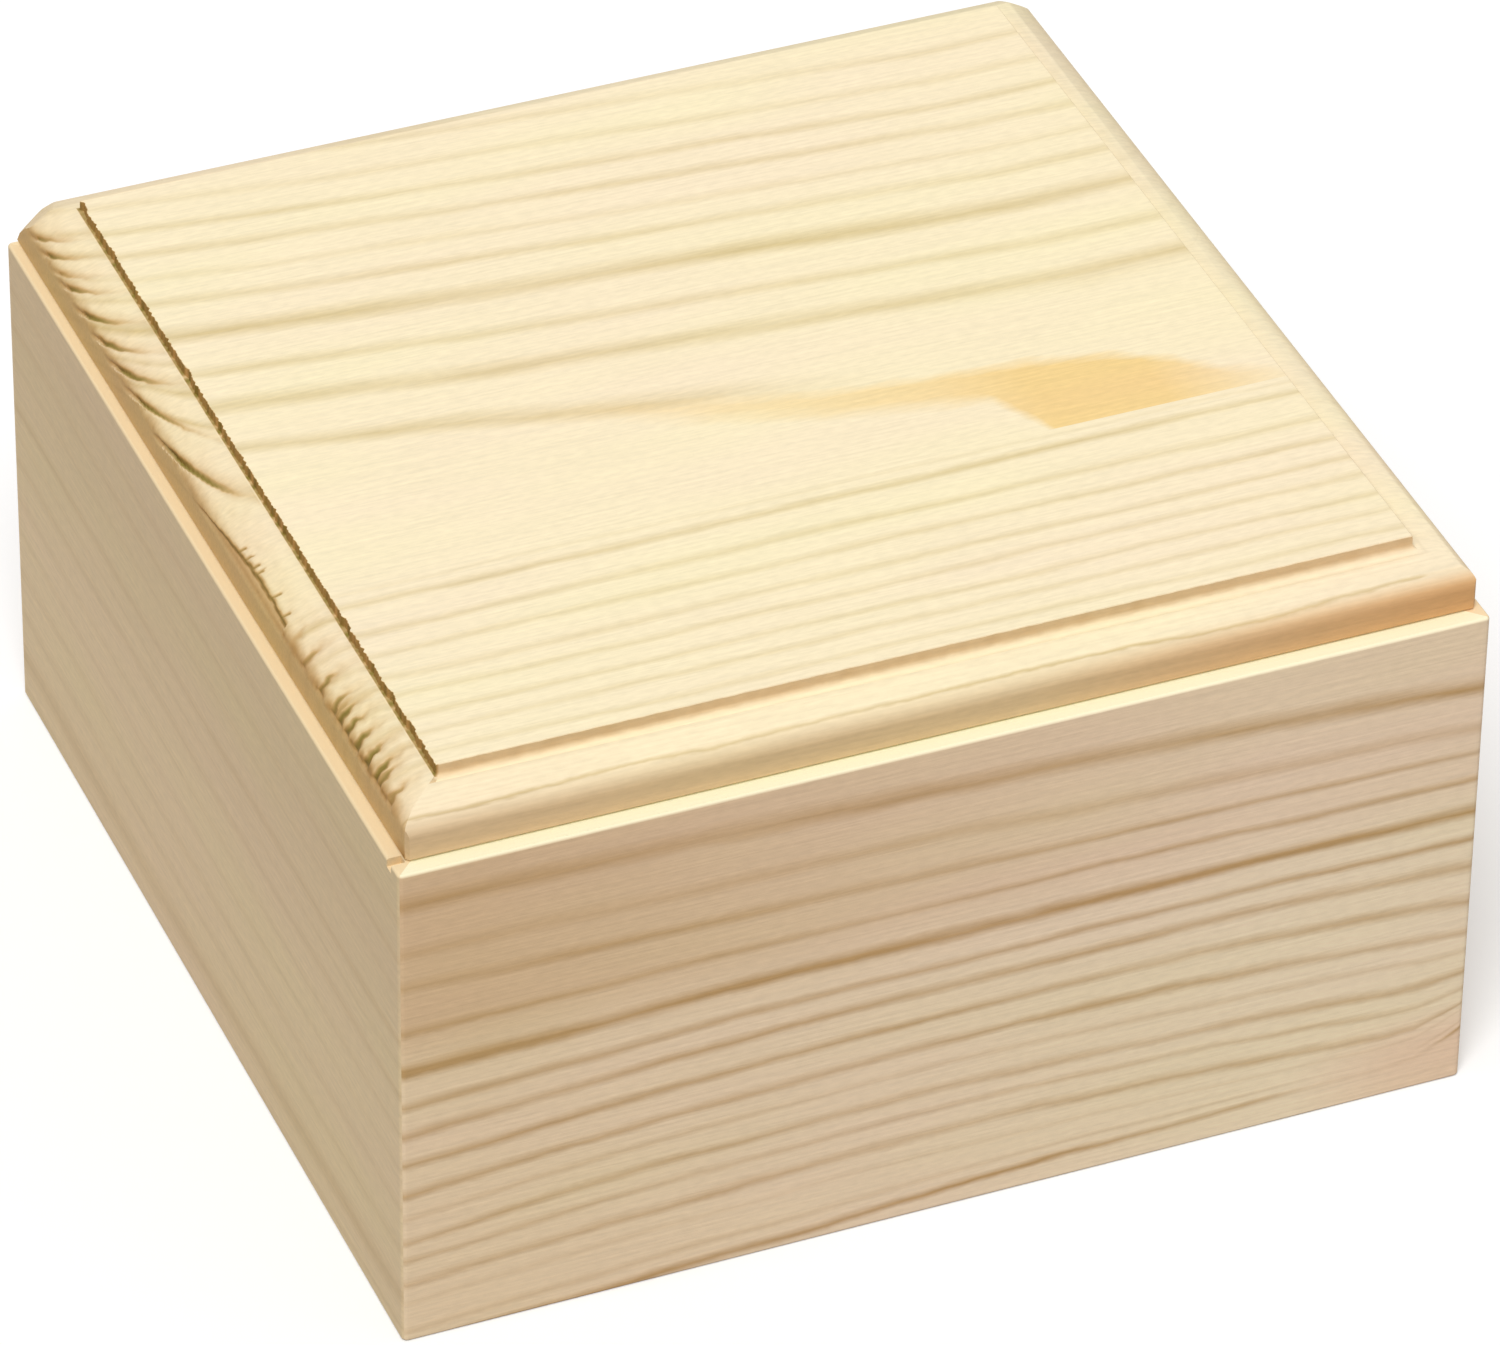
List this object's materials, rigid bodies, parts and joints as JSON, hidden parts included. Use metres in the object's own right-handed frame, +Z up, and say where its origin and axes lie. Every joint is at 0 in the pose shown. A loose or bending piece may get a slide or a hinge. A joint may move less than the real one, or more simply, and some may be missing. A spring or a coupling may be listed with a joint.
{
  "type": "storage_box",
  "caption": "Square wooden keepsake box with mitred walls and a thick moulded lid that slides out sideways in grooves.",
  "frame": {"origin": "middle of the box's footprint, on the surface that it stands on", "axes": "+X to the right, the way the lid is pulled out; +Y to the back; +Z up"},
  "size_m": [0.15, 0.15, 0.0846],
  "materials": {
    "pine_wall": "bare sanded pine",
    "pine_bottom": "bare sanded pine",
    "pine_lid": "bare sanded pine"
  },
  "bodies": {
    "box": {"front_wall": "pine_wall", "back_wall": "pine_wall", "left_wall": "pine_wall", "right_wall": "pine_wall", "bottom_panel": "pine_bottom"},
    "sliding_lid": {"lid_front_board": "pine_lid", "lid_back_board": "pine_lid"}
  },
  "joints": [
    {"name": "lid_slide", "type": "slide", "parent": "box", "child": "sliding_lid", "axis": [1, 0, 0], "range_m": [0, 0.115]}
  ]
}
